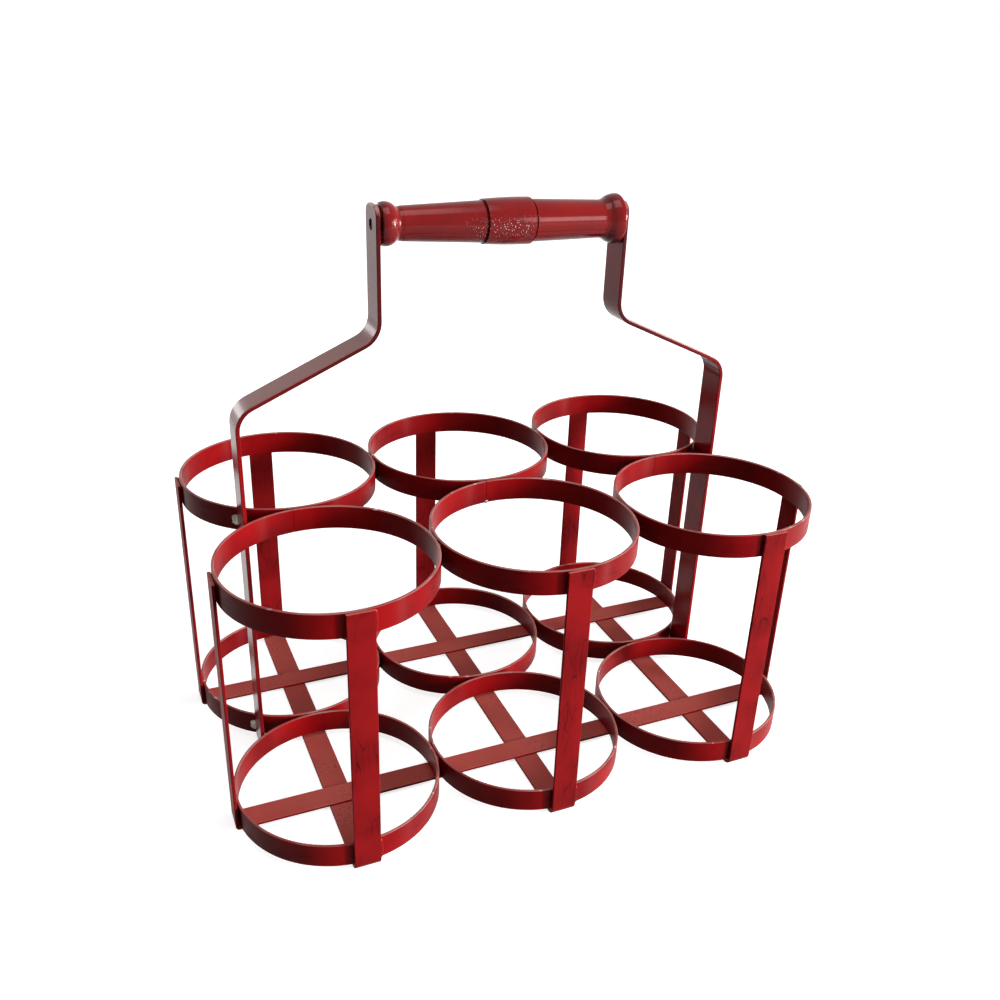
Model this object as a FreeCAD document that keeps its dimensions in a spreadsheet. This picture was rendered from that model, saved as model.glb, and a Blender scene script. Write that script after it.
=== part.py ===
import FreeCAD, Part
import math
import os

import Sketcher

# A carrier for six bottles, two rows of three. Each bottle stands inside a base hoop and a top hoop of
# flat steel strip. Bent straps run under the cells and up the outside, and two bent arms rise from the
# notches between the end hoops to a turned wooden grip on a steel rod.
# Frame: X along the three columns, Y from the front row to the back row, Z up from the floor.

# Driving dimensions, in millimetres and degrees.
SIZES = {
    # hoops, rolled from strip with butted ends
    "hoop_outer_radius": 50.0,
    "hoop_thickness": 1.5,
    "hoop_height": 12.0,
    "hoop_weld_gap": 0.4,
    "hoop_seam_gap": 0.3,
    "hoop_seam_angle": 5.0,
    "tier_rise": 122.0,
    # straps under the cells and up the outside of the hoops
    "strap_width": 12.6,
    "strap_thickness": 1.5,
    "strap_seat_gap": 0.2,
    "end_strap_drop": 1.3,
    "long_strap_spread": 1.6,
    "middle_strap_shift": -1.0,
    "right_strap_shift": 2.3,
    "cross_strap_bend": 2.5,
    "long_strap_bend": 0.5,
    # arms that carry the grip
    "arm_width": 16.0,
    "arm_thickness": 2.0,
    "arm_seat_gap": 0.2,
    "arm_bend": 11.0,
    "shoulder_rise": 52.7,
    "slope_rise": 30.3,
    "neck_rise": 47.8,
    "tip_margin": 8.8,
    "tip_corner_radius": 5.0,
    # steel rod through the grip, a little higher at the left, its ends sunk in the arms
    "rod_radius": 2.6,
    "rod_tilt_rise": 1.2,
    "rod_hole_clearance": 0.05,
    "rod_end_sink": 0.7,
    "rod_end_chamfer": 0.4,
    # turned grip, measured from its left end
    "grip_length": 119.9,
    "grip_left_gap": 1.15,
    "grip_right_gap": 0.55,
    "grip_bore_clearance": 0.05,
    "left_end_radius": 8.9,
    "left_bead_length": 8.0,
    "left_bead_arc": 6.1,
    "left_neck_radius": 7.3,
    "left_neck_fillet": 1.5,
    "left_cove_length": 2.6,
    "left_cove_round": 3.0,
    "left_barrel_radius": 7.8,
    "left_shoulder_radius": 9.5,
    "groove_width": 1.2,
    "groove_depth": 0.7,
    "band_start": 49.7,
    "band_length": 23.0,
    "band_left_radius": 10.15,
    "band_right_radius": 10.8,
    "band_crown_arc": 250.0,
    "right_shoulder_radius": 9.8,
    "right_neck_radius": 8.9,
    "right_neck_fillet": 7.0,
    "right_bead_length": 8.05,
    "right_bead_arc": 10.0,
    "right_end_radius": 11.75,
    "grip_end_round": 1.0,
    # broken edges of the rolled strip
    "strip_edge_round": 0.4,
}

# Places that follow from the driving dimensions.
PLACES = {
    "hoop_inner_radius": "=Sizes.hoop_outer_radius - Sizes.hoop_thickness",
    "hoop_pitch": "=2 * Sizes.hoop_outer_radius + Sizes.hoop_weld_gap",
    "row_offset": "=hoop_pitch / 2",
    "seam_start": "=hoop_inner_radius / 2",
    "seam_end": "=Sizes.hoop_outer_radius + Sizes.hoop_thickness",
    "base_tier_height": "=2 * Sizes.strap_thickness",
    "top_tier_height": "=base_tier_height + Sizes.tier_rise",
    "rim_height": "=top_tier_height + Sizes.hoop_height",
    "strap_reach": "=Sizes.hoop_outer_radius + Sizes.strap_seat_gap + Sizes.strap_thickness",
    "cross_strap_length": "=hoop_pitch + 2 * strap_reach",
    "cross_strap_inside": "=cross_strap_length - Sizes.strap_thickness",
    "cross_strap_height": "=rim_height",
    "cross_strap_far_height": "=rim_height - Sizes.end_strap_drop",
    "cross_strap_outer_bend": "=Sizes.cross_strap_bend + Sizes.strap_thickness",
    "long_strap_length": "=2 * hoop_pitch + 2 * strap_reach",
    "long_strap_inside": "=long_strap_length - Sizes.strap_thickness",
    "long_strap_height": "=rim_height - Sizes.end_strap_drop - Sizes.strap_thickness",
    "long_strap_far_height": "=long_strap_height",
    "long_strap_outer_bend": "=Sizes.long_strap_bend + Sizes.strap_thickness",
    "long_strap_offset": "=row_offset + Sizes.long_strap_spread",
    "left_strap_place": "=-hoop_pitch",
    "middle_strap_place": "=Sizes.middle_strap_shift",
    "right_strap_place": "=hoop_pitch + Sizes.right_strap_shift",
    "notch_half": "=(hoop_pitch - Sizes.arm_width) / 2",
    "leg_inside": "=hoop_pitch + sqrt((Sizes.hoop_outer_radius + Sizes.arm_seat_gap)^2 - notch_half^2)",
    "leg_outside": "=leg_inside + Sizes.arm_thickness",
    "neck_inside": "=(Sizes.grip_length + Sizes.grip_left_gap + Sizes.grip_right_gap) / 2",
    "neck_outside": "=neck_inside + Sizes.arm_thickness",
    "slope_run": "=leg_outside - neck_outside",
    "slope_length": "=sqrt(slope_run^2 + Sizes.slope_rise^2)",
    "bend_drop": "=Sizes.arm_thickness * (slope_length - Sizes.slope_rise) / slope_run",
    "arm_outer_bend": "=Sizes.arm_bend + Sizes.arm_thickness",
    "shoulder_outside": "=rim_height + Sizes.shoulder_rise",
    "shoulder_inside": "=shoulder_outside - bend_drop",
    "neck_foot_outside": "=shoulder_outside + Sizes.slope_rise",
    "neck_foot_inside": "=neck_foot_outside - bend_drop",
    "rod_height": "=neck_foot_outside + Sizes.neck_rise",
    "left_rod_height": "=rod_height + Sizes.rod_tilt_rise",
    "right_rod_height": "=rod_height - Sizes.rod_tilt_rise",
    "left_tip_height": "=left_rod_height + Sizes.tip_margin",
    "right_tip_height": "=right_rod_height + Sizes.tip_margin",
    "rod_slope": "=Sizes.rod_tilt_rise / (neck_inside + Sizes.arm_thickness / 2)",
    "grip_start": "=(Sizes.grip_left_gap - neck_inside) / sqrt(1 + rod_slope^2)",
    "grip_start_height": "=rod_height - grip_start * rod_slope",
    "rod_hole_radius": "=Sizes.rod_radius + Sizes.rod_hole_clearance",
    "rod_length": "=2 * (neck_outside - Sizes.rod_end_sink)",
    "grip_bore_radius": "=Sizes.rod_radius + Sizes.grip_bore_clearance",
    "left_cove_end": "=Sizes.left_bead_length + Sizes.left_cove_length",
    "left_groove_start": "=Sizes.band_start - Sizes.groove_width",
    "left_groove_radius": "=Sizes.left_shoulder_radius - Sizes.groove_depth",
    "band_end": "=Sizes.band_start + Sizes.band_length",
    "right_groove_end": "=band_end + Sizes.groove_width",
    "right_groove_radius": "=Sizes.right_shoulder_radius - Sizes.groove_depth",
    "right_bead_start": "=Sizes.grip_length - Sizes.right_bead_length",
}

ROWS = {"front": -1, "back": 1}
COLUMNS = {"left": -1, "middle": 0, "right": 1}
QUARTER_TURN = 90.0
HALF_TURN = 180.0
FULL_TURN = 360.0
SHARP_ANGLE = 0.4
NEAR = 1e-4
ACROSS = FreeCAD.Vector(0, 1, 0)
UP = FreeCAD.Vector(0, 0, 1)

doc = FreeCAD.newDocument("bottle_caddy")
nodes = []


def fill_sheet(label, cells):
    """Write one spreadsheet: a name in column A, its value in column B under the same alias."""
    sheet = doc.addObject("Spreadsheet::Sheet", label)
    for row, (alias, value) in enumerate(cells.items(), start=1):
        sheet.set(f"A{row}", alias)
        sheet.set(f"B{row}", str(value))
        sheet.setAlias(f"B{row}", alias)
    doc.recompute()
    return sheet


sizes = fill_sheet("Sizes", SIZES)
places = fill_sheet("Places", PLACES)


def cell(name):
    """The expression that reads a named value."""
    return f"Sizes.{name}" if name in SIZES else f"Places.{name}"


def value(name):
    """The present number of a named value."""
    return float((sizes if name in SIZES else places).get(name))


def new_body(node):
    """An empty body for one piece, listed for writing out."""
    body = doc.addObject("PartDesign::Body", node)
    body.Label = node
    nodes.append(body)
    return body


def new_sketch(body, plane, name):
    """A sketch on one of the body's own origin planes."""
    sketch = body.newObject("Sketcher::SketchObject", f"{body.Name}_{name}")
    origin = [feature for feature in body.Origin.OriginFeatures if feature.Role == plane]
    sketch.AttachmentSupport = [(origin[0], "")]
    sketch.MapMode = "FlatFace"
    return sketch


def bind(sketch, constraint, name):
    """Add a dimension to a sketch and tie it to a named value."""
    number = sketch.addConstraint(constraint)
    sketch.setExpression(f"Constraints[{number}]", cell(name))


def pin(sketch, line, end, x, y):
    """Fix one end of a line at named distances from the axes; None lies on the axis."""
    for kind, axis, name in (("DistanceX", -2, x), ("DistanceY", -1, y)):
        if name is None:
            sketch.addConstraint(Sketcher.Constraint("PointOnObject", line, end, axis))
        else:
            bind(sketch, Sketcher.Constraint(kind, -1, 1, line, end, value(name)), name)


def spot(corner):
    """The sketch point of a corner given by two names."""
    x, y = (0.0 if name is None else value(name) for name in corner)
    return FreeCAD.Vector(x, y, 0)


def clockwise_arc(start, end, radius):
    """The shorter arc of a radius that turns clockwise from start to end."""
    chord = end - start
    side = FreeCAD.Vector(chord.y, -chord.x, 0).normalize()
    depth = (radius ** 2 - chord.Length ** 2 / 4) ** 0.5
    centre = start + chord * 0.5 + side * depth
    crown = centre - side * radius
    return Part.Arc(end, crown, start)


def draw_outline(sketch, corners, arcs=None):
    """Draw a closed outline through named corners. arcs maps a side's number to its named radius."""
    arcs = arcs or {}
    points = [spot(corner) for corner in corners]
    count = len(points)
    for side in range(count):
        start, end = points[side], points[(side + 1) % count]
        if side in arcs:
            sketch.addGeometry(clockwise_arc(start, end, value(arcs[side])), False)
        else:
            sketch.addGeometry(Part.LineSegment(start, end), False)
    # an outward arc is stored from its far end to its near end
    first = [2 if side in arcs else 1 for side in range(count)]
    last = [1 if side in arcs else 2 for side in range(count)]
    for side in range(count):
        after = (side + 1) % count
        sketch.addConstraint(Sketcher.Constraint("Coincident", side, last[side], after, first[after]))
    for side, corner in enumerate(corners):
        pin(sketch, side, first[side], *corner)
    for side, name in arcs.items():
        bind(sketch, Sketcher.Constraint("Radius", side, value(name)), name)


def draw_circle(sketch, radius, height=None):
    """Draw a circle of a named radius, at the origin or at a named height above it."""
    centre = FreeCAD.Vector(0, value(height) if height else 0, 0)
    circle = sketch.addGeometry(Part.Circle(centre, UP, value(radius)), False)
    bind(sketch, Sketcher.Constraint("Radius", circle, value(radius)), radius)
    if height:
        pin(sketch, circle, 3, None, height)
    else:
        sketch.addConstraint(Sketcher.Constraint("Coincident", circle, 3, -1, 1))


def pad(body, sketch, length, both_ways=False):
    """Pad a sketch to a named length, upwards or half to each side."""
    feature = body.newObject("PartDesign::Pad", f"{body.Name}_strip")
    feature.Profile = sketch
    feature.setExpression("Length", cell(length))
    if both_ways:
        feature.SideType = "Symmetric"
    doc.recompute()
    return feature


def cut_through(body, sketch, name):
    """Cut a sketch through the body towards the plane's positive side."""
    before = body.Tip.Shape.Volume
    feature = body.newObject("PartDesign::Pocket", f"{body.Name}_{name}")
    feature.Profile = sketch
    feature.Type = "ThroughAll"
    feature.Reversed = True
    doc.recompute()
    if feature.Shape.Volume > before - NEAR:
        raise RuntimeError(f"{feature.Name} cut nothing")
    return feature


def dress(body, kind, name, edges, radius):
    """Fillet or chamfer named edges of the body's tip by a named amount."""
    base = body.Tip
    feature = body.newObject(f"PartDesign::{kind}", f"{body.Name}_{name}")
    feature.Base = (base, edges)
    feature.setExpression("Radius" if kind == "Fillet" else "Size", cell(radius))
    doc.recompute()
    return feature


def edges_at(body, corners, across):
    """Names of the edges that run along one axis, across, through sketch corners."""
    in_plane = [axis for axis in "xyz" if axis != across]
    wanted = [spot(corner) for corner in corners]
    found = []
    for number, edge in enumerate(body.Tip.Shape.Edges, start=1):
        ends = [vertex.Point for vertex in edge.Vertexes]
        flat = [FreeCAD.Vector(getattr(end, in_plane[0]), getattr(end, in_plane[1]), 0) for end in ends]
        if any(all((end - point).Length < NEAR for end in flat) for point in wanted):
            found.append(f"Edge{number}")
    return found


def sharp_edges(body):
    """Names of the edges where two faces of the body's tip meet at an angle."""
    shape = body.Tip.Shape
    found = []
    for number, edge in enumerate(shape.Edges, start=1):
        faces = shape.ancestorsOfType(edge, Part.Face)
        if len(faces) != 2:
            continue
        middle = edge.valueAt((edge.FirstParameter + edge.LastParameter) / 2)
        normals = [face.normalAt(*face.Surface.parameter(middle)) for face in faces]
        if normals[0].getAngle(normals[1]) > SHARP_ANGLE:
            found.append(f"Edge{number}")
    return found


def place(body, x="0", y="0", z="0", turn=0.0, axis=UP):
    """Turn a body about an axis and tie its position to expressions."""
    body.Placement = FreeCAD.Placement(FreeCAD.Vector(), FreeCAD.Rotation(axis, turn))
    for letter, expression in (("x", x), ("y", y), ("z", z)):
        body.setExpression(f".Placement.Base.{letter}", expression)


def make_hoop(node, row, column, height, seam):
    """A ring of flat strip with its butted ends at an angle, seam, from the X axis."""
    body = new_body(node)
    ring = new_sketch(body, "XY_Plane", "ring")
    draw_circle(ring, "hoop_outer_radius")
    draw_circle(ring, "hoop_inner_radius")
    pad(body, ring, "hoop_height")
    dress(body, "Fillet", "edges", sharp_edges(body), "strip_edge_round")
    slit = new_sketch(body, "XY_Plane", "seam")
    draw_outline(slit, [("seam_start", None), ("seam_end", None),
                        ("seam_end", "hoop_seam_gap"), ("seam_start", "hoop_seam_gap")])
    cut_through(body, slit, "slit")
    place(body, f"{column} * {cell('hoop_pitch')}", f"{row} * {cell('row_offset')}", cell(height), seam)


def make_strap(node, kind, plane, across):
    """A strip bent into a U, drawn from its outer lower corner. kind is cross_strap or long_strap."""
    body = new_body(node)
    length, inside = f"{kind}_length", f"{kind}_inside"
    height, far_height = f"{kind}_height", f"{kind}_far_height"
    outline = new_sketch(body, plane, "outline")
    outer_corners = [(None, None), (length, None)]
    inner_corners = [(inside, "strap_thickness"), ("strap_thickness", "strap_thickness")]
    draw_outline(outline, outer_corners + [(length, far_height), (inside, far_height)] + inner_corners
                 + [("strap_thickness", height), (None, height)])
    pad(body, outline, "strap_width", both_ways=True)
    dress(body, "Fillet", "inner_bends", edges_at(body, inner_corners, across), f"{kind}_bend")
    dress(body, "Fillet", "outer_bends", edges_at(body, outer_corners, across), f"{kind}_outer_bend")
    dress(body, "Fillet", "edges", sharp_edges(body), "strip_edge_round")
    return body


def make_arm(side, turn):
    """A leg, a slope and a neck bent from one strip, drawn on the right and turned for the left."""
    body = new_body(f"handle_arm_{side}")
    tip_height = f"{side}_tip_height"
    outline = new_sketch(body, "XZ_Plane", "outline")
    shoulder, neck_foot = ("leg_outside", "shoulder_outside"), ("neck_outside", "neck_foot_outside")
    armpit, elbow = ("leg_inside", "shoulder_inside"), ("neck_inside", "neck_foot_inside")
    tips = [("neck_outside", tip_height), ("neck_inside", tip_height)]
    draw_outline(outline, [("leg_outside", "base_tier_height"), shoulder, neck_foot] + tips
                 + [elbow, armpit, ("leg_inside", "base_tier_height")])
    pad(body, outline, "arm_width", both_ways=True)
    dress(body, "Fillet", "inner_bends", edges_at(body, [armpit, neck_foot], "y"), "arm_bend")
    dress(body, "Fillet", "outer_bends", edges_at(body, [shoulder, elbow], "y"), "arm_outer_bend")
    top = value(tip_height)
    tip_corners = []
    for number, edge in enumerate(body.Tip.Shape.Edges, start=1):
        ends = [vertex.Point for vertex in edge.Vertexes]
        if all(abs(end.z - top) < NEAR for end in ends) and abs(ends[0].y - ends[1].y) < NEAR:
            tip_corners.append(f"Edge{number}")
    dress(body, "Fillet", "tip", tip_corners, "tip_corner_radius")
    dress(body, "Fillet", "edges", sharp_edges(body), "strip_edge_round")
    hole = new_sketch(body, "YZ_Plane", "rod_hole")
    draw_circle(hole, "rod_hole_radius", f"{side}_rod_height")
    cut_through(body, hole, "rod_hole_cut")
    place(body, turn=turn)


def make_rod():
    """The straight rod that the grip turns on."""
    body = new_body("handle_rod")
    section = new_sketch(body, "YZ_Plane", "section")
    draw_circle(section, "rod_radius")
    pad(body, section, "rod_length", both_ways=True)
    dress(body, "Chamfer", "ends", sharp_edges(body), "rod_end_chamfer")
    place(body, z=cell("rod_height"), turn=rod_turn(), axis=ACROSS)


def rod_turn():
    """The small turn about Y, in degrees, that lifts the rod's left end."""
    return math.degrees(math.atan(value("rod_slope")))


def make_grip():
    """The turned grip: a bead at each end, two tapered barrels and a raised band between two grooves."""
    body = new_body("handle_grip")
    profile = new_sketch(body, "XZ_Plane", "profile")
    left_neck = ("left_bead_length", "left_neck_radius")
    left_barrel = ("left_cove_end", "left_barrel_radius")
    right_neck = ("right_bead_start", "right_neck_radius")
    ends = [(None, "left_end_radius"), ("grip_length", "right_end_radius")]
    corners = [
        (None, "grip_bore_radius"), ends[0], left_neck, left_barrel,
        ("left_groove_start", "left_shoulder_radius"), ("left_groove_start", "left_groove_radius"),
        ("band_start", "left_groove_radius"), ("band_start", "band_left_radius"),
        ("band_end", "band_right_radius"), ("band_end", "right_groove_radius"),
        ("right_groove_end", "right_groove_radius"), ("right_groove_end", "right_shoulder_radius"),
        right_neck, ends[1], ("grip_length", "grip_bore_radius"),
    ]
    arcs = {
        corners.index(ends[0]): "left_bead_arc",
        corners.index(("band_start", "band_left_radius")): "band_crown_arc",
        corners.index(right_neck): "right_bead_arc",
    }
    draw_outline(profile, corners, arcs)
    turned = body.newObject("PartDesign::Revolution", "turned_form")
    turned.Profile = profile
    turned.ReferenceAxis = (profile, ["H_Axis"])
    turned.Angle = FULL_TURN
    doc.recompute()
    rounds = (("left_neck", left_neck, "left_neck_fillet"), ("left_barrel", left_barrel, "left_cove_round"),
              ("right_neck", right_neck, "right_neck_fillet"),
              ("left_end", ends[0], "grip_end_round"), ("right_end", ends[1], "grip_end_round"))
    for name, corner, radius in rounds:
        dress(body, "Fillet", name, rings_at(body, corner), radius)
    place(body, x=cell("grip_start"), z=cell("grip_start_height"), turn=rod_turn(), axis=ACROSS)


def rings_at(body, corner):
    """Names of the circular edges that a corner of a turned profile leaves."""
    wanted = spot(corner)
    found = []
    for number, edge in enumerate(body.Tip.Shape.Edges, start=1):
        if not isinstance(edge.Curve, Part.Circle):
            continue
        if abs(edge.Curve.Center.x - wanted.x) < NEAR and abs(edge.Curve.Radius - wanted.y) < NEAR:
            found.append(f"Edge{number}")
    return found


def make_hoops():
    """Six base hoops with their seams at the cross straps, six top hoops with theirs between the rows."""
    for row, y in ROWS.items():
        outward = QUARTER_TURN if y > 0 else -QUARTER_TURN
        inward = HALF_TURN + outward + value("hoop_seam_angle")
        for column, x in COLUMNS.items():
            make_hoop(f"base_hoop_{row}_{column}", y, x, "base_tier_height", outward)
            make_hoop(f"top_hoop_{row}_{column}", y, x, "top_tier_height", inward)


def make_straps():
    """A cross strap under each column, and a long strap on them under each row."""
    for column in COLUMNS:
        strap = make_strap(f"cross_strap_{column}", "cross_strap", "YZ_Plane", "x")
        place(strap, cell(f"{column}_strap_place"), f"-{cell('cross_strap_length')} / 2")
    for row, y in ROWS.items():
        strap = make_strap(f"long_strap_{row}", "long_strap", "XZ_Plane", "y")
        place(strap, f"-{cell('long_strap_length')} / 2", f"{y} * {cell('long_strap_offset')}",
              cell("strap_thickness"))


def check_model():
    """Stop if any object failed or any piece is not one valid solid."""
    for item in doc.Objects:
        if "Invalid" in item.State or "Error" in item.State:
            raise RuntimeError(f"{item.Name} failed: {item.State}")
    for body in nodes:
        shape = body.Shape
        if shape.isNull() or not shape.isValid() or len(shape.Solids) != 1:
            raise RuntimeError(f"{body.Label} is not one valid solid")


make_hoops()
make_straps()
make_arm("left", HALF_TURN)
make_arm("right", 0.0)
make_rod()
make_grip()
doc.recompute()
check_model()
os.makedirs("parts", exist_ok=True)
for body in nodes:
    body.Shape.exportStep(f"parts/{body.Label}.step")
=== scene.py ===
import logging
import math
from collections.abc import Iterable
from dataclasses import dataclass, field
from enum import Enum
from random import Random

import bmesh
import bpy
from mathutils import Matrix, Vector


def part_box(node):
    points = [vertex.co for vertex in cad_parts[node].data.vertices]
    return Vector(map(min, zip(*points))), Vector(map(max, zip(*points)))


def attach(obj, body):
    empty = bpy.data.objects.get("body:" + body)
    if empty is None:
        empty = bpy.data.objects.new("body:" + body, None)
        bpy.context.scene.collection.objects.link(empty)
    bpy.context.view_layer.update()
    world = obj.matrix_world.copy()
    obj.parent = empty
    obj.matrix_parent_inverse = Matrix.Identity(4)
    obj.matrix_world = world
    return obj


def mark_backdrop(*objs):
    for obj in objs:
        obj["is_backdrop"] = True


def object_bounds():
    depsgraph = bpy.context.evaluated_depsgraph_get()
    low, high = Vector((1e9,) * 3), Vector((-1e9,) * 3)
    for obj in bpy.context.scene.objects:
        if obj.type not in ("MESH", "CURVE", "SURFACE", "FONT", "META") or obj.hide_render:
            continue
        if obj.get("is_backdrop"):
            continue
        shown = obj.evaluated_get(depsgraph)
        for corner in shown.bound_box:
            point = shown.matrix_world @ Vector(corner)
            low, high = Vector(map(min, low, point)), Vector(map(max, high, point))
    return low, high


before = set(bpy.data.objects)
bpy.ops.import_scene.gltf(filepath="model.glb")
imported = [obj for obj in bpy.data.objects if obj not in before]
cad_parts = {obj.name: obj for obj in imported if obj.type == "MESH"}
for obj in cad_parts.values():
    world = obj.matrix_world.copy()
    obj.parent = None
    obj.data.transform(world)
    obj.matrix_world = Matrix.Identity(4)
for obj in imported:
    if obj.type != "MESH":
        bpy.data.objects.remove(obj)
CAD_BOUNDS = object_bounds()

# A carrier for six bottles: hoops and straps of flat steel strip, welded and brushed with red enamel, with
# a turned wooden grip on a rod. Lengths are in metres, in the frame of the solid model.

MM = 0.001
UP = Vector((0.0, 0.0, 1.0))
REAR = Vector((0.0, 1.0, 0.0))
FRAME_BODY = "carrier_frame"
TIERS = ("base", "top")
ROWS = {"front": -1.0, "back": 1.0}
COLUMNS = ("left", "middle", "right")
ENDS = {"left": -1.0, "right": 1.0}

# The shader counts the turn of its brush marks in whole turns.
QUARTER_TURN = 0.25

# Sockets of the colour form of a mix node, which share their names with the other forms.
MIX_FACTOR, MIX_A, MIX_B, MIX_RESULT = 0, 6, 7, 2

# What an input of a node can be linked to: a socket, or a node for its first output.
Source = bpy.types.Node | bpy.types.NodeSocket

log = logging.getLogger("bottle_caddy")


def linear(hex_colour: str) -> tuple[float, float, float, float]:
    """Turn an sRGB hex colour into linear light.

    Args:
        hex_colour: A colour such as "#B4181C".

    Returns:
        Red, green, blue and a full alpha.
    """
    channels = [int(hex_colour[start:start + 2], 16) / 255 for start in (1, 3, 5)]
    red, green, blue = (c / 12.92 if c <= 0.04045 else ((c + 0.055) / 1.055) ** 2.4 for c in channels)
    return red, green, blue, 1.0


def add_node(tree: bpy.types.NodeTree, kind: str, inputs: dict | None = None,
             **settings: object) -> bpy.types.Node:
    """Add a node to a tree.

    Args:
        tree: The node tree of a material or world.
        kind: The node's type name, without its common prefix.
        inputs: For each input, by name or number, a value, a socket or a node whose first output is linked.
        settings: Values for the node's own options.

    Returns:
        The new node.
    """
    node = tree.nodes.new(f"ShaderNode{kind}")
    for option, value in settings.items():
        setattr(node, option, value)
    for name, value in (inputs or {}).items():
        if isinstance(value, bpy.types.Node):
            value = value.outputs[0]
        if isinstance(value, bpy.types.NodeSocket):
            tree.links.new(value, node.inputs[name])
        else:
            node.inputs[name].default_value = value
    return node


def new_material(name: str) -> bpy.types.Material:
    """Make an empty node material.

    Args:
        name: The material's name.

    Returns:
        The material, whose tree has no nodes yet.
    """
    material = bpy.data.materials.new(name)
    material.use_nodes = True
    material.node_tree.nodes.clear()
    return material


def layer(tree: bpy.types.NodeTree, below: tuple[float, ...],
          coats: Iterable[tuple[bpy.types.Node, str]]) -> bpy.types.NodeSocket:
    """Paint colours over one another.

    Args:
        tree: The node tree of a material.
        below: The lowest colour, in linear light.
        coats: For each coat, upwards, the pattern that shows it and its hex colour.

    Returns:
        The socket of the finished colour.
    """
    top = below
    for mask, colour in coats:
        top = add_node(tree, "Mix", {MIX_FACTOR: mask, MIX_A: top, MIX_B: linear(colour)},
                       data_type="RGBA").outputs[MIX_RESULT]
    return top


def seen_directly(tree: bpy.types.NodeTree) -> bpy.types.Node:
    """Tell apart rays that show a surface from rays that only carry its light.

    Args:
        tree: The node tree of the floor or the world.

    Returns:
        A node that is 1 for the camera, for reflections and for refractions.
    """
    path = add_node(tree, "LightPath")
    mirrored = add_node(tree, "Math", {0: path.outputs["Is Camera Ray"], 1: path.outputs["Is Glossy Ray"]},
                        operation="MAXIMUM")
    return add_node(tree, "Math", {0: mirrored, 1: path.outputs["Is Transmission Ray"]}, operation="MAXIMUM")


class Grain(Enum):
    """Which way brush marks run, as the squeeze of the pattern along X, Y and Z."""

    UPRIGHT = (1.0, 1.0, 0.16)
    LEVEL = (0.12, 0.12, 1.0)


@dataclass(frozen=True)
class Mottle:
    """An uneven pattern in a finish: how coarse it is, which of its values fade it in, and its fineness."""

    size_mm: float
    shown: tuple[float, float]
    detail: float = 2.0

    def draw(self, tree: bpy.types.NodeTree, place: Source, least: float = 0.0,
             most: float = 1.0) -> bpy.types.Node:
        """Draw the pattern on a piece.

        Args:
            tree: The node tree of a material.
            place: Where on the piece a point lies.
            least: The value where the pattern is absent.
            most: The value where it shows in full.

        Returns:
            A node that goes from the least value to the most.
        """
        noise = add_node(tree, "TexNoise", {"Vector": place, "Scale": 1 / (self.size_mm * MM),
                                            "Detail": self.detail})
        return add_node(tree, "MapRange", {"Value": noise, "From Min": self.shown[0],
                                           "From Max": self.shown[1], "To Min": least, "To Max": most})


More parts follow.
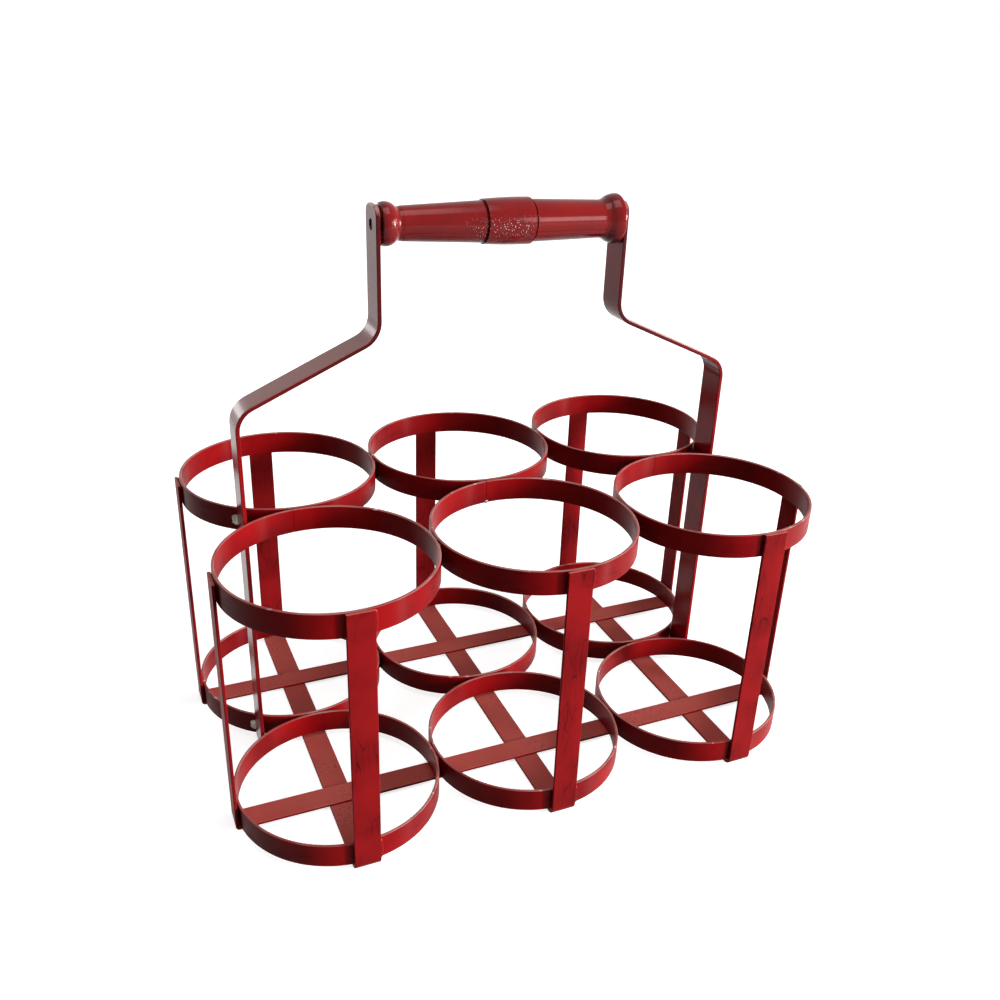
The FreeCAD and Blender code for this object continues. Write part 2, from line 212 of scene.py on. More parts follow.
@dataclass(frozen=True)
class Enamel:
    """Brushed red enamel on rolled strip: satin, streaked by the brush, paler where it faces up, partly from
    rubbing and partly as a painted sheen of the light from above, and with painted shade on sheared edge
    faces high up.
    """

    colour: str = "#8C0C0F"
    shade: str = "#70080D"
    # the pale colour of the tops: partly rubbing, partly a painted sheen of the light from above
    rub_and_sheen_colour: str = "#AE4A44"
    scuff: str = "#3C070A"
    # edge is painted shade on sheared edge faces high up
    edge: str = "#36070A"
    crack: str = "#2C0508"
    # bare is the pale of specks on the tops, partly bright steel and partly painted glints
    bare: str = "#E8D2CC"
    chip: str = "#1E0808"
    sheen: str = "#FFC8C8"
    roughness: float = 0.3
    scuffed_roughness: float = 0.55
    specular: float = 0.12
    anisotropy: float = 0.0
    rub_and_sheen_strength: float = 0.85
    rub_and_sheen_floor: float = 0.8
    scuff_strength: float = 0.4
    bare_and_glint_strength: float = 0.0
    crack_strength: float = 0.0
    edge_shade_strength: float = 0.0
    # slow changes of the coat, where it is thin, streaked, worn or brittle; the worn pattern also breaks up
    # the pale tops, which are partly rubbing and partly painted sheen
    clouds: Mottle = Mottle(26.0, (0.35, 0.7))
    streaky: Mottle = Mottle(26.0, (0.5, 0.62))
    worn: Mottle = Mottle(26.0, (0.35, 0.6))
    brittle: Mottle = Mottle(26.0, (0.44, 0.56))
    # small marks: brush streaks, pale specks that are partly bright steel and partly painted glints, and
    # pinholes in the paint
    streaks: Mottle = Mottle(1.5, (0.54, 0.66), detail=4.0)
    bare_and_glint_spots: Mottle = Mottle(4.0, (0.7, 0.74), detail=1.0)
    pinholes: Mottle = Mottle(0.9, (0.74, 0.78), detail=1.0)
    # how far a face looks up to be a top or a side, and how far along Y to be a sheared edge face that takes
    # painted shade
    top_facing: tuple[float, float] = (0.2, 0.7)
    side_facing: tuple[float, float] = (0.1, 0.4)
    edge_facing: tuple[float, float] = (0.8, 0.95)
    # heights over which the painted shade on sheared edge faces fades in
    shade_height_mm: tuple[float, float] = (165.0, 215.0)
    crack_mm: float = 3.6
    crack_lines: tuple[float, float] = (0.01, 0.035)
    wave_mm: float = 34.0
    wave_height_mm: float = 0.6
    wave_strength: float = 0.25
    peel_mm: float = 1.6
    peel_height_mm: float = 0.05
    peel_strength: float = 0.15

    def material(self, name: str, grain: Grain) -> bpy.types.Material:
        """Make the paint for pieces that were brushed one way.

        Args:
            name: The material's name.
            grain: The way the brush marks run.

        Returns:
            The node material.
        """
        material = new_material(name)
        tree = material.node_tree
        place = add_node(tree, "TexCoord").outputs["Object"]
        brushed = add_node(tree, "Mapping", {"Vector": place, "Scale": grain.value})
        # dark brush streaks, only where the coat is streaky
        scuffs = add_node(tree, "Math", {0: self.streaky.draw(tree, place),
                                         1: self.streaks.draw(tree, brushed, most=self.scuff_strength)},
                          operation="MULTIPLY")
        gloss = add_node(tree, "MapRange", {"Value": scuffs, "To Min": self.roughness,
                                            "To Max": self.scuffed_roughness})
        # marks that run round a hoop draw its highlights out into upright bands
        round_hoop = add_node(tree, "Tangent", direction_type="RADIAL", axis="Z")
        shader = add_node(tree, "BsdfPrincipled", {
            "Base Color": layer(tree, linear(self.colour), self.coats(tree, place, brushed, scuffs)),
            "Roughness": gloss, "Normal": self.relief(tree, place),
            "Specular IOR Level": self.specular, "Specular Tint": linear(self.sheen),
            "Anisotropic": self.anisotropy, "Anisotropic Rotation": QUARTER_TURN, "Tangent": round_hoop})
        add_node(tree, "OutputMaterial", {"Surface": shader})
        return material

    def coats(self, tree: bpy.types.NodeTree, place: bpy.types.NodeSocket, brushed: bpy.types.Node,
              scuffs: bpy.types.Node) -> list[tuple[bpy.types.Node, str]]:
        """List what lies over the red, upwards.

        Args:
            tree: The material's node tree.
            place: Where on the piece a point lies.
            brushed: The same, squeezed along the brush marks.
            scuffs: The pattern of the brush streaks.

        Returns:
            For each coat the pattern that shows it and its hex colour.
        """
        facing = add_node(tree, "SeparateXYZ", {0: add_node(tree, "NewGeometry").outputs["Normal"]})
        # painted sheen: faces that look up are made paler, partly as wear from bottles and dust and partly as
        # the light from above; a few pale specks there are partly bright steel and partly painted glints
        tops = add_node(tree, "MapRange", {"Value": facing.outputs["Z"], "From Min": self.top_facing[0],
                                           "From Max": self.top_facing[1], "To Max": self.rub_and_sheen_strength})
        rub_and_sheen_mask = add_node(tree, "Math", {0: tops, 1: self.worn.draw(tree, place, least=self.rub_and_sheen_floor)},
                        operation="MULTIPLY")
        bare = add_node(tree, "Math", {0: tops, 1: self.bare_and_glint_spots.draw(tree, place, most=self.bare_and_glint_strength)},
                        operation="MULTIPLY")
        # painted shade: sheared edge faces that look along Y are darkened high up on the arms
        square = add_node(tree, "Math", {0: facing.outputs["Y"]}, operation="ABSOLUTE")
        sheared = add_node(tree, "MapRange", {"Value": square, "From Min": self.edge_facing[0],
                                              "From Max": self.edge_facing[1], "To Max": self.edge_shade_strength})
        height = add_node(tree, "SeparateXYZ", {0: place}).outputs["Z"]
        shade_height = add_node(tree, "MapRange", {"Value": height, "From Min": self.shade_height_mm[0] * MM,
                                              "From Max": self.shade_height_mm[1] * MM})
        edge_shade = add_node(tree, "Math", {0: sheared, 1: shade_height}, operation="MULTIPLY")
        # upright faces keep the paint's own faults, pinholes and cracks
        upright = add_node(tree, "MapRange", {"Value": facing.outputs["Z"], "From Min": self.side_facing[0],
                                              "From Max": self.side_facing[1], "To Min": 1.0, "To Max": 0.0})
        chips = add_node(tree, "Math", {0: self.pinholes.draw(tree, place), 1: upright}, operation="MULTIPLY")
        coats = [(self.clouds.draw(tree, place), self.shade), (edge_shade, self.edge), (rub_and_sheen_mask, self.rub_and_sheen_colour),
                 (scuffs, self.scuff)]
        if self.crack_strength:
            cracked = add_node(tree, "Math", {0: self.brittle.draw(tree, place), 1: upright},
                               operation="MULTIPLY")
            coats.append((self.cracks(tree, brushed, cracked), self.crack))
        return coats + [(bare, self.bare), (chips, self.chip)]

    def cracks(self, tree: bpy.types.NodeTree, brushed: bpy.types.Node,
               patches: bpy.types.Node) -> bpy.types.Node:
        """Draw hairline cracks that run with the brush marks.

        Args:
            tree: The material's node tree.
            brushed: Places, squeezed along the brush marks.
            patches: The stretches of paint that have cracked.

        Returns:
            A node that is above 0 on the cracks.
        """
        # the real lines are hairs, drawn about 0.3 mm wide here so that they show
        bend = add_node(tree, "TexNoise", {"Vector": brushed, "Scale": 1 / (2 * self.crack_mm * MM)})
        bent = add_node(tree, "VectorMath", {0: bend.outputs["Color"], "Scale": self.crack_mm * MM},
                        operation="SCALE")
        moved = add_node(tree, "VectorMath", {0: bent, 1: brushed}, operation="ADD")
        cell = add_node(tree, "TexVoronoi", {"Vector": moved, "Scale": 1 / (self.crack_mm * MM)},
                        feature="DISTANCE_TO_EDGE")
        lines = add_node(tree, "MapRange", {"Value": cell, "From Min": self.crack_lines[0],
                                            "From Max": self.crack_lines[1],
                                            "To Min": self.crack_strength, "To Max": 0.0})
        return add_node(tree, "Math", {0: lines, 1: patches}, operation="MULTIPLY")

    def relief(self, tree: bpy.types.NodeTree, place: bpy.types.NodeSocket) -> bpy.types.Node:
        """Bend the surface by the strip's slow waves and the paint's fine peel.

        Args:
            tree: The material's node tree.
            place: Where on the piece a point lies.

        Returns:
            The node of the bent normal.
        """
        wave = add_node(tree, "TexNoise", {"Vector": place, "Scale": 1 / (self.wave_mm * MM), "Detail": 0.0})
        waves = add_node(tree, "Bump", {"Height": wave, "Strength": self.wave_strength,
                                        "Distance": self.wave_height_mm * MM})
        grit = add_node(tree, "TexNoise", {"Vector": place, "Scale": 1 / (self.peel_mm * MM), "Detail": 1.0})
        return add_node(tree, "Bump", {"Height": grit, "Strength": self.peel_strength,
                                       "Distance": self.peel_height_mm * MM, "Normal": waves})


@dataclass(frozen=True)
class PaintedWood:
    """Turned hardwood under a thick gloss coat, blistered on the front of the band; the blisters' pale crowns
    are partly chips down to a pale undercoat and partly painted glints.
    """

    colour: str = "#7B0F0E"
    shade: str = "#650A0C"
    worn: str = "#54090B"
    # pale of the blisters' crowns: partly chips to a pale undercoat, partly painted glints
    primer_and_glint: str = "#F2DCD8"
    sheen: str = "#FFD8D8"
    roughness: float = 0.14
    specular: float = 0.23
    clouds: Mottle = Mottle(18.0, (0.35, 0.7))
    flecks: Mottle = Mottle(0.8, (0.56, 0.66))
    fleck_strength: float = 0.4
    ring_mm: float = 2.4
    ring_height_mm: float = 0.1
    ring_strength: float = 0.12
    blister_mm: float = 0.8
    blister_height_mm: float = 0.3
    blister_draw: tuple[float, float] = (0.45, 0.51)
    blister_radius: tuple[float, float] = (0.1, 0.5)
    # blister heights where the pale chips and painted glints show
    chip_and_glint_range: tuple[float, float] = (0.45, 0.8)
    chip_and_glint_strength: float = 0.75
    blistered_from_mm: tuple[float, float] = (-24.0, -13.0)
    blistered_to_mm: tuple[float, float] = (9.0, 18.0)
    blistered_above_mm: tuple[float, float] = (259.5, 264.5)
    blistered_below_mm: tuple[float, float] = (268.5, 273.5)

    def material(self) -> bpy.types.Material:
        """Make the grip's paint.

        Returns:
            The node material.
        """
        material = new_material("gloss_paint_on_turned_wood")
        tree = material.node_tree
        place = add_node(tree, "TexCoord").outputs["Object"]
        axes = add_node(tree, "SeparateXYZ", {0: place})
        stretch = self.blistered(tree, axes)
        blisters = self.blisters(tree, place, stretch)
        # painted glints: the crowns of the blisters are painted pale, partly as chips in the paint
        chips = add_node(tree, "MapRange", {"Value": blisters, "From Min": self.chip_and_glint_range[0],
                                            "From Max": self.chip_and_glint_range[1], "To Max": self.chip_and_glint_strength})
        flecks = self.flecks.draw(tree, place, most=self.fleck_strength)
        worn = add_node(tree, "Math", {0: flecks, 1: stretch}, operation="MULTIPLY")
        coats = [(self.clouds.draw(tree, place), self.shade), (worn, self.worn), (chips, self.primer_and_glint)]
        # faint rings that the turning tool left
        rings = add_node(tree, "TexNoise", {"W": axes.outputs["X"], "Scale": 1 / (self.ring_mm * MM)},
                         noise_dimensions="1D")
        turned = add_node(tree, "Bump", {"Height": rings, "Strength": self.ring_strength,
                                         "Distance": self.ring_height_mm * MM})
        raised = add_node(tree, "Bump", {"Height": blisters, "Strength": 1.0,
                                         "Distance": self.blister_height_mm * MM, "Normal": turned})
        shader = add_node(tree, "BsdfPrincipled", {
            "Base Color": layer(tree, linear(self.colour), coats), "Roughness": self.roughness,
            "Normal": raised, "Specular IOR Level": self.specular, "Specular Tint": linear(self.sheen)})
        add_node(tree, "OutputMaterial", {"Surface": shader})
        return material

    def blistered(self, tree: bpy.types.NodeTree, axes: bpy.types.Node) -> bpy.types.Node:
        """Mark the blistered stretch, which fades out along the grip and towards its top and underside.

        Args:
            tree: The material's node tree.
            axes: A point's place, as X, Y and Z.

        Returns:
            A node that is 1 inside the stretch.
        """
        # the height of the stretch follows where the highlight runs along the grip, so the painted glints sit
        # on it
        stretch = None
        for axis, limits, ends in (("X", self.blistered_from_mm, (0.0, 1.0)),
                                   ("X", self.blistered_to_mm, (1.0, 0.0)),
                                   ("Z", self.blistered_above_mm, (0.0, 1.0)),
                                   ("Z", self.blistered_below_mm, (1.0, 0.0))):
            fade = add_node(tree, "MapRange", {
                "Value": axes.outputs[axis], "From Min": limits[0] * MM, "From Max": limits[1] * MM,
                "To Min": ends[0], "To Max": ends[1]})
            stretch = add_node(tree, "Math", {0: stretch, 1: fade}, operation="MULTIPLY") if stretch else fade
        return stretch

    def blisters(self, tree: bpy.types.NodeTree, place: bpy.types.NodeSocket,
                 stretch: bpy.types.Node) -> bpy.types.Node:
        """Raise blisters in about half of a pattern's cells, whose crowns the material paints pale, partly as
        chips and partly as painted glints.

        Args:
            tree: The material's node tree.
            place: Where on the grip a point lies.
            stretch: The blistered stretch.

        Returns:
            A node that rises to 1 at the top of each blister.
        """
        cell = add_node(tree, "TexVoronoi", {"Vector": place, "Scale": 1 / (self.blister_mm * MM)})
        draw = add_node(tree, "SeparateXYZ", {0: cell.outputs["Color"]})
        drawn = add_node(tree, "MapRange", {"Value": draw, "From Min": self.blister_draw[0],
                                            "From Max": self.blister_draw[1]})
        dome = add_node(tree, "MapRange", {"Value": cell, "From Min": self.blister_radius[0],
                                           "From Max": self.blister_radius[1],
                                           "To Min": 1.0, "To Max": 0.0}, interpolation_type="SMOOTHSTEP")
        domes = add_node(tree, "Math", {0: dome, 1: drawn}, operation="MULTIPLY")
        return add_node(tree, "Math", {0: domes, 1: stretch}, operation="MULTIPLY")


@dataclass(frozen=True)
class AgedSteel:
    """Plain steel gone dull with age: grey, with a bloom of another grey in small clouds."""

    colour: str
    bloom: str
    metallic: float = 0.8
    roughness: float = 0.45
    bloom_mm: float = 3.0
    bloom_shown: tuple[float, float] = (0.35, 0.65)
    grain_height_mm: float = 0.1
    grain_strength: float = 0.3

    def material(self, name: str) -> bpy.types.Material:
        """Make the steel of a rod or a bare weld.

        Args:
            name: The material's name.

        Returns:
            The node material.
        """
        material = new_material(name)
        tree = material.node_tree
        place = add_node(tree, "TexCoord").outputs["Object"]
        cloud = add_node(tree, "TexNoise", {"Vector": place, "Scale": 1 / (self.bloom_mm * MM)})
        clouds = add_node(tree, "MapRange", {"Value": cloud, "From Min": self.bloom_shown[0],
                                             "From Max": self.bloom_shown[1]})
        grain = add_node(tree, "Bump", {"Height": cloud, "Strength": self.grain_strength,
                                        "Distance": self.grain_height_mm * MM})
        shader = add_node(tree, "BsdfPrincipled", {
            "Base Color": layer(tree, linear(self.colour), [(clouds, self.bloom)]), "Normal": grain,
            "Metallic": self.metallic, "Roughness": self.roughness})
        add_node(tree, "OutputMaterial", {"Surface": shader})
        return material


def paint_nodes(nodes: Iterable[str], material: bpy.types.Material) -> None:
    """Give nodes of the solid model a material.

    Args:
        nodes: The nodes' names.
        material: The finish that they get.
    """
    for name in nodes:
        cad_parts[name].data.materials.clear()
        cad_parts[name].data.materials.append(material)
        log.info("%s dressed in %s", name, material.name)


def paint_piece(piece: bpy.types.Object, material: bpy.types.Material) -> None:
    """Give an added piece a material.

    Args:
        piece: The piece.
        material: The finish that it gets.
    """
    piece.data.materials.append(material)
    log.info("%s dressed in %s", piece.name, material.name)


def at_height(spot: Vector, height: float) -> Vector:
    """Move a point to a height."""
    return Vector((spot.x, spot.y, height))


@dataclass
class WeldRun:
    """Weld beads that cooled in ripples, joined into one named piece."""

    name: str
    seed: int
    rings: int = 14
    sides: int = 12
    ripple: float = 1.6 * MM
    ripple_share: float = 0.1
    lump_share: float = 0.1
    shape: bmesh.types.BMesh = field(default_factory=bmesh.new)
    draws: Random = field(init=False)

    def __post_init__(self) -> None:
        """Start the seeded draws."""
        self.draws = Random(self.seed)

    def lay(self, start: Vector, end: Vector, across: Vector, half_width: float, half_depth: float) -> None:
        """Lay one closed bead along a straight joint.

        Args:
            start: The bead's first end.
            end: The bead's last end.
            across: The direction of the bead's width.
            half_width: Half of the width, along across.
            half_depth: Half of the depth, square to the width.
        """
        run = end - start
        deep = run.normalized().cross(across).normalized()
        poles = [self.shape.verts.new(start), self.shape.verts.new(end)]
        loops = []
        for ring in range(1, self.rings):
            share = -math.cos(math.pi * ring / self.rings)
            middle = start + run * (share + 1) / 2
            # full along the run, with blunt round ends
            swell = (1 - share ** 4) ** 0.5
            swell *= 1 + self.ripple_share * math.cos(math.tau * share * run.length / self.ripple / 2)
            loop = []
            for side in range(self.sides):
                turn = math.tau * side / self.sides
                reach = swell * (1 + self.draws.uniform(-self.lump_share, self.lump_share))
                offset = across * math.cos(turn) * half_width + deep * math.sin(turn) * half_depth
                loop.append(self.shape.verts.new(middle + offset * reach))
            loops.append(loop)
        for side in range(self.sides):
            after = (side + 1) % self.sides
            self.shape.faces.new((poles[0], loops[0][after], loops[0][side]))
            self.shape.faces.new((poles[1], loops[-1][side], loops[-1][after]))
            for near, far in zip(loops, loops[1:]):
                self.shape.faces.new((near[side], near[after], far[after], far[side]))

    def close(self) -> bpy.types.Object:
        """Turn the beads into a piece of the frame.

        Returns:
            The piece, without a finish.
        """
        bmesh.ops.recalc_face_normals(self.shape, faces=self.shape.faces)
        for face in self.shape.faces:
            face.smooth = True
        mesh = bpy.data.meshes.new(self.name)
        self.shape.to_mesh(mesh)
        self.shape.free()
        piece = bpy.data.objects.new(self.name, mesh)
        bpy.context.scene.collection.objects.link(piece)
        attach(piece, FRAME_BODY)
        log.info("%s built, %d faces", self.name, len(mesh.polygons))
        return piece


@dataclass(frozen=True)
class Hoop:
    """One rolled hoop of the solid model: its middle, its outer radius and its two rims."""

    middle: Vector
    radius: float
    bottom: float
    top: float

    @classmethod
    def read(cls, tier: str, row: str, column: str) -> "Hoop":
        """Measure a hoop, by the words in its name."""
        low, high = (Vector(corner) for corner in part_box(f"{tier}_hoop_{row}_{column}"))
        return cls((low + high) / 2, (high.x - low.x) / 2, low.z, high.z)

    def corner(self, strip: Vector, half: float, outward: Vector, aside: Vector, lift: Vector) -> Vector:
        """Find the corner between the hoop and the edge of a strip that stands against it.

        Args:
            strip: A point on the strip's middle line.
            half: Half of the strip's width.
            outward: The level direction from the hoop to the strip.
            aside: The level direction from the strip's middle to that edge.
            lift: How far the point lies beyond the edge and out from the hoop's face.

        Returns:
            The point in the corner.
        """
        offset = (strip - self.middle).dot(aside) + half + lift.x
        depth = math.sqrt(self.radius ** 2 - offset ** 2)
        return self.middle + aside * offset + outward * (depth + lift.y)


@dataclass
class Hoops:
    """The six cells: a base hoop and a top hoop each, welded to their neighbours."""

    # the hoops' pale rims are partly rubbing and partly a painted sheen, with pale specks that are partly
    # bare steel and partly painted glints
    enamel: Enamel = Enamel(rub_and_sheen_colour="#B5807A", roughness=0.34, specular=0.06, anisotropy=0.97,
                            rub_and_sheen_strength=0.75, rub_and_sheen_floor=0.3, bare_and_glint_strength=0.8)
    notch: float = 6.0 * MM
    notch_bead: tuple[float, float] = (0.95 * MM, 1.2 * MM)
    rim_margin: float = 0.8 * MM
    wall: float = 1.5 * MM
    seam_gap: float = 0.3 * MM
    seam_angles: tuple[tuple[str, str, float], ...] = (
        ("base", "front", -90.0), ("base", "back", 90.0), ("top", "front", 95.0), ("top", "back", 275.0))
    seam_width: float = 0.24 * MM
    seam_depths: dict[str, float] = field(default_factory=lambda: {
        "left": 0.95 * MM, "middle": 0.73 * MM, "right": 0.73 * MM})
    tacked: tuple[str, str, str] = ("top", "front", "middle")
    tack_bead: tuple[float, float] = (1.0 * MM, 0.55 * MM)
    tack_rise: float = 1.6 * MM
    notches: bpy.types.Object = field(init=False)
    seams: bpy.types.Object = field(init=False)
    tack: bpy.types.Object = field(init=False)

    def build(self) -> None:
        """Weld the hoops where they touch and fill their butted seams."""
        notches = WeldRun("hoop_notch_welds", 11)
        for tier in TIERS:
            pairs = [((row, left), (row, right)) for row in ROWS for left, right in zip(COLUMNS, COLUMNS[1:])]
            pairs += [(("front", column), ("back", column)) for column in COLUMNS]
            for first, second in pairs:
                self.weld_pair(notches, Hoop.read(tier, *first), Hoop.read(tier, *second))
        seams = WeldRun("hoop_seam_fillers", 12, rings=8, sides=8, lump_share=0.0, ripple_share=0.0)
        tack = WeldRun("hoop_seam_tack", 13, rings=8)
        for tier, row, angle in self.seam_angles:
            for column in COLUMNS:
                hoop = Hoop.read(tier, row, column)
                foot, away = self.fill_seam(seams, hoop, math.radians(angle), self.seam_depths[column])
                if (tier, row, column) == self.tacked:
                    self.tack_seam(tack, hoop, foot, away)
        self.notches, self.seams, self.tack = (run.close() for run in (notches, seams, tack))

    def weld_pair(self, run: WeldRun, first: Hoop, second: Hoop) -> None:
        """Lay the two beads that join a pair of hoops, one on each side of where they touch.

        Args:
            run: The beads so far.
            first: One hoop.
            second: Its neighbour.
        """
        along = (second.middle - first.middle).normalized()
        aside = UP.cross(along)
        for side in (-1, 1):
            foot = (first.middle + second.middle) / 2 + aside * side * self.notch
            run.lay(at_height(foot, first.bottom + self.rim_margin),
                    at_height(foot, first.top - self.rim_margin), along, *self.notch_bead)

    def fill_seam(self, run: WeldRun, hoop: Hoop, angle: float, half_depth: float) -> tuple[Vector, Vector]:
        """Fill one butted seam.

        Args:
            run: The fillers so far.
            hoop: The hoop that is filled.
            angle: Where the seam lies on the hoop, in radians from +X.
            half_depth: Half of the filler's depth, through the hoop's wall.

        Returns:
            The middle of the seam and the direction from the hoop's middle to it.
        """
        away = Vector((math.cos(angle), math.sin(angle), 0.0))
        across = UP.cross(away)
        foot = hoop.middle + away * (hoop.radius - self.wall / 2) + across * self.seam_gap / 2
        run.lay(at_height(foot, hoop.bottom + self.seam_gap), at_height(foot, hoop.top - self.seam_gap),
                across, self.seam_width, half_depth)
        return foot, away

    def tack_seam(self, run: WeldRun, hoop: Hoop, foot: Vector, away: Vector) -> None:
        """Tack a seam at the lower edge of the inside.

        Args:
            run: The tack.
            hoop: The hoop that is tacked.
            foot: The middle of the seam.
            away: The direction from the hoop's middle to the seam.
        """
        inside = foot - away * self.wall / 2
        run.lay(at_height(inside, hoop.bottom - self.seam_gap),
                at_height(inside, hoop.bottom + self.tack_rise), UP.cross(away), *self.tack_bead)

    def dress(self, bare: bpy.types.Material) -> None:
        """Paint the hoops and their welds, and leave the tack bare.

        Args:
            bare: The finish of bare weld metal.
        """
        paint = self.enamel.material("red_enamel_on_hoops", Grain.LEVEL)
        cells = [(row, column) for row in ROWS for column in COLUMNS]
        paint_nodes([f"{tier}_hoop_{row}_{column}" for tier in TIERS for row, column in cells], paint)
        for piece in (self.notches, self.seams):
            paint_piece(piece, paint)
        paint_piece(self.tack, bare)


@dataclass
class Straps:
    """Three cross straps and two long straps, each welded along one edge to the hoops that it passes.

    The cross straps are welded along the counter-clockwise edge and the long straps along the rear one.
    """

    # the straps' pale tops are partly rubbing and partly a painted sheen
    enamel: Enamel = Enamel(colour="#8A1618", shade="#6E0F13", rub_and_sheen_colour="#B85A52", roughness=0.48,
                            specular=0.05, crack_strength=0.6)
    bead: tuple[float, float] = (0.85 * MM, 1.0 * MM)
    lift: Vector = field(default_factory=lambda: Vector((0.3 * MM, 0.7 * MM)))
    rim_margin: float = 0.6 * MM
    welds: bpy.types.Object = field(init=False)

    def build(self) -> None:
        """Lay the beads between straps and hoops."""
        run = WeldRun("strap_welds", 21)
        for tier in TIERS:
            for row, outward in ROWS.items():
                for column in COLUMNS:
                    hoop = Hoop.read(tier, row, column)
                    away = Vector((0.0, outward, 0.0))
                    self.weld(run, hoop, f"cross_strap_{column}", away, UP.cross(away))
                for end, outward_end in ENDS.items():
                    hoop = Hoop.read(tier, row, end)
                    self.weld(run, hoop, f"long_strap_{row}", Vector((outward_end, 0.0, 0.0)), REAR)
        self.welds = run.close()

    def weld(self, run: WeldRun, hoop: Hoop, strap: str, outward: Vector, aside: Vector) -> None:
        """Lay the bead along one edge of a strap at one hoop.

        Args:
            run: The beads so far.
            hoop: The hoop that the strap stands against.
            strap: The strap's name.
            outward: The level direction from the hoop to the strap.
            aside: The level direction from the strap's middle to the welded edge.
        """
        low, high = (Vector(corner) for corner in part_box(strap))
        half = abs((high - low).dot(aside)) / 2
        foot = hoop.corner((low + high) / 2, half, outward, aside, self.lift)
        top = min(hoop.top, high.z) - self.rim_margin
        run.lay(at_height(foot, hoop.bottom + self.rim_margin), at_height(foot, top), aside, *self.bead)

    def dress(self) -> None:
        """Paint the straps and their welds."""
        paint = self.enamel.material("red_enamel_on_straps", Grain.UPRIGHT)
        paint_nodes([f"cross_strap_{column}" for column in COLUMNS], paint)
        paint_nodes([f"long_strap_{row}" for row in ROWS], paint)
        paint_piece(self.welds, paint)


@dataclass
class Handle:
    """Two bent arms, welded into the notches of the end hoops, and a wooden grip on a rod."""

    # the arms' pale tops are partly rubbing and partly a painted sheen, and their sheared edge faces get
    # painted shade high up
    enamel: Enamel = Enamel(rub_and_sheen_colour="#9A6A64", roughness=0.22, specular=0.14, scuff_strength=0.15,
                            edge_shade_strength=0.9)
    wood: PaintedWood = PaintedWood()
    rod_steel: AgedSteel = AgedSteel("#211C1A", "#3A2A22")
    bead: tuple[float, float] = (2.4 * MM, 1.0 * MM)
    lift: Vector = field(default_factory=lambda: Vector((1.3 * MM, 0.6 * MM)))
    bead_span: tuple[float, float] = (3.0 * MM, 8.5 * MM)
    welds: bpy.types.Object = field(init=False)

    def build(self) -> None:
        """Lay the beads between the arms' legs and the four hoops that each touches."""
        run = WeldRun("arm_welds", 31)
        for end, outward_end in ENDS.items():
            low, high = (Vector(corner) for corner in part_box(f"handle_arm_{end}"))
            half = (high.y - low.y) / 2
            outward = Vector((outward_end, 0.0, 0.0))
            for tier in TIERS:
                for row, side in ROWS.items():
                    hoop = Hoop.read(tier, row, end)
                    aside = Vector((0.0, side, 0.0))
                    foot = hoop.corner((low + high) / 2, half, outward, aside, self.lift)
                    start, finish = (at_height(foot, hoop.bottom + rise) for rise in self.bead_span)
                    along_face = UP.cross(at_height(foot - hoop.middle, 0.0)).normalized()
                    run.lay(start, finish, along_face, *self.bead)
        self.welds = run.close()

    def dress(self, bare: bpy.types.Material) -> None:
        """Paint the arms and the grip, and leave the rod and the welds bare.

        Args:
            bare: The finish of bare weld metal.
        """
        paint = self.enamel.material("red_enamel_on_arms", Grain.UPRIGHT)
        paint_nodes([f"handle_arm_{end}" for end in ENDS], paint)
        paint_nodes(["handle_grip"], self.wood.material())
        paint_nodes(["handle_rod"], self.rod_steel.material("aged_steel_rod"))
        paint_piece(self.welds, bare)


@dataclass(frozen=True)
class Softbox:
    """A soft lamp that faces the caddy from a direction, in degrees, and a distance."""

    name: str
    azimuth: float
    elevation: float
    distance: float
    width: float
    height: float
    radiance: float

    def hang(self, target: Vector) -> bpy.types.Object:
        """Put the lamp up.

        Args:
            target: The point that the lamp faces.

        Returns:
            The lamp.
        """
        azimuth, elevation = math.radians(self.azimuth), math.radians(self.elevation)
        away = Vector((math.sin(azimuth) * math.cos(elevation), -math.cos(azimuth) * math.cos(elevation),
                       math.sin(elevation)))
        data = bpy.data.lights.new(self.name, "AREA")
        data.shape = "RECTANGLE"
        data.size = self.width
        data.size_y = self.height
        data.energy = self.radiance * math.pi * self.width * self.height
        lamp = bpy.data.objects.new(self.name, data)
        lamp.location = target + away * self.distance
        lamp.rotation_euler = away.to_track_quat("Z", "Y").to_euler()
        bpy.context.scene.collection.objects.link(lamp)
        return lamp


@dataclass(frozen=True)
class Viewpoint:
    """The camera: where it stands, where it points, in degrees, and its lens."""

    stand: tuple[float, float, float] = (-0.19353, -0.43979, 0.35481)
    yaw: float = 24.105
    pitch: float = 25.684
    roll: float = 2.094
    lens_mm: float = 36.694
    sensor_mm: float = 36.0
    shift: tuple[float, float] = (0.0019, 0.0022)

    def set_up(self) -> bpy.types.Object:
        """Place the camera and make it the scene's own.

        Returns:
            The camera.
        """
        yaw, pitch, roll = (math.radians(angle) for angle in (self.yaw, self.pitch, self.roll))
        ahead = Vector((math.sin(yaw) * math.cos(pitch), math.cos(yaw) * math.cos(pitch), -math.sin(pitch)))
        level = Vector((math.cos(yaw), -math.sin(yaw), 0.0))
        above = level.cross(ahead)
        right = level * math.cos(roll) + above * math.sin(roll)
        up = above * math.cos(roll) - level * math.sin(roll)
        data = bpy.data.cameras.new("photo_view")
        data.sensor_width = self.sensor_mm
        data.lens = self.lens_mm
        data.shift_x, data.shift_y = self.shift
        camera = bpy.data.objects.new("photo_view", data)
        turn = Matrix((right, up, -ahead)).transposed().to_4x4()
        camera.matrix_world = Matrix.Translation(self.stand) @ turn
        bpy.context.scene.collection.objects.link(camera)
        bpy.context.scene.camera = camera
        return camera


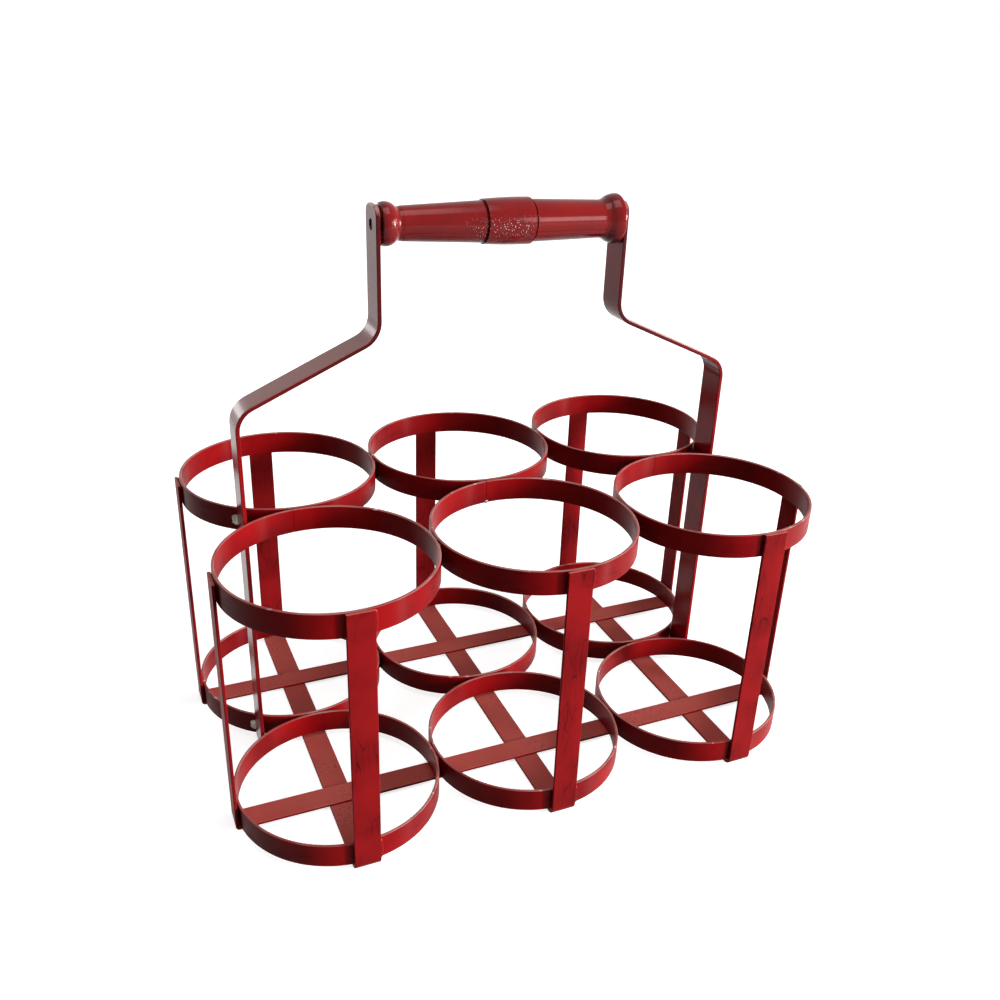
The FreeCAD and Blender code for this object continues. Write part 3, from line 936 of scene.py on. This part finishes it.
@dataclass
class Studio:
    """A white sweep, soft lamps and the camera."""

    floor_side: float = 12.0
    floor_colour: str = "#262626"
    sheet_colour: str = "#DADADA"
    sheet_glow: tuple[float, float] = (0.76, 1.0)
    glow_reach: tuple[float, float] = (0.25, 0.8)
    room_colour: str = "#FFFFFF"
    room_light: float = 0.075
    softboxes: tuple[Softbox, ...] = (
        Softbox("window", azimuth=52.0, elevation=14.0, distance=2.4,
                width=2.4, height=0.85, radiance=9.8),
        Softbox("window_gap", azimuth=53.0, elevation=8.0, distance=2.3,
                width=0.24, height=0.8, radiance=118.0),
        Softbox("ceiling_panel", azimuth=0.0, elevation=80.0, distance=1.5,
                width=0.87, height=0.87, radiance=4.0),
        Softbox("far_wall", azimuth=205.0, elevation=6.0, distance=2.4,
                width=2.0, height=0.5, radiance=6.0),
    )

    def build(self) -> None:
        """Lay the floor, fill the room with light and set up the camera."""
        bpy.context.scene.view_settings.view_transform = "Standard"
        self.lay_floor()
        self.light_room()
        low, high = (Vector(corner) for corner in CAD_BOUNDS)
        for softbox in self.softboxes:
            softbox.hang((low + high) / 2)
        Viewpoint().set_up()

    def lay_floor(self) -> bpy.types.Object:
        """Lay a flat floor that looks white and throws little light back up.

        Returns:
            Nothing, as marking the floor as backdrop gives nothing back.
        """
        mesh = bpy.data.meshes.new("floor")
        shape = bmesh.new()
        bmesh.ops.create_grid(shape, x_segments=1, y_segments=1, size=self.floor_side / 2)
        shape.to_mesh(mesh)
        shape.free()
        floor = bpy.data.objects.new("floor", mesh)
        bpy.context.scene.collection.objects.link(floor)
        material = new_material("white_sweep")
        tree = material.node_tree
        dim = add_node(tree, "BsdfDiffuse", {"Color": linear(self.floor_colour)})
        sheet = add_node(tree, "BsdfDiffuse", {"Color": linear(self.sheet_colour)})
        place = add_node(tree, "TexCoord").outputs["Object"]
        reach = add_node(tree, "VectorMath", {0: place}, operation="LENGTH").outputs["Value"]
        strength = add_node(tree, "MapRange", {
            "Value": reach, "From Min": self.glow_reach[0], "From Max": self.glow_reach[1],
            "To Min": self.sheet_glow[0], "To Max": self.sheet_glow[1]}, interpolation_type="SMOOTHSTEP")
        glow = add_node(tree, "Emission", {"Strength": strength})
        bright = add_node(tree, "AddShader", {0: sheet, 1: glow})
        surface = add_node(tree, "MixShader", {0: seen_directly(tree), 1: dim, 2: bright})
        add_node(tree, "OutputMaterial", {"Surface": surface})
        mesh.materials.append(material)
        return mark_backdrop(floor)

    def light_room(self) -> None:
        """Give the room a white look and a dim light."""
        world = bpy.data.worlds.new("white_room")
        world.use_nodes = True
        tree = world.node_tree
        tree.nodes.clear()
        dim = add_node(tree, "Background", {"Color": linear(self.room_colour), "Strength": self.room_light})
        white = add_node(tree, "Background", {"Color": linear(self.room_colour)})
        surface = add_node(tree, "MixShader", {0: seen_directly(tree), 1: dim, 2: white})
        add_node(tree, "OutputWorld", {"Surface": surface})
        bpy.context.scene.world = world


def main() -> None:
    """Build and dress the caddy, piece by piece."""
    logging.basicConfig(level=logging.INFO, format="%(message)s")
    bare_weld = AgedSteel("#A8A09C", "#6E625E", metallic=0.6, bloom_mm=2.0).material("bare_weld_steel")
    hoops, straps, handle = Hoops(), Straps(), Handle()
    for assembly in (hoops, straps, handle):
        assembly.build()
    hoops.dress(bare_weld)
    straps.dress()
    handle.dress(bare_weld)
    Studio().build()


if __name__ == "__main__":
    main()
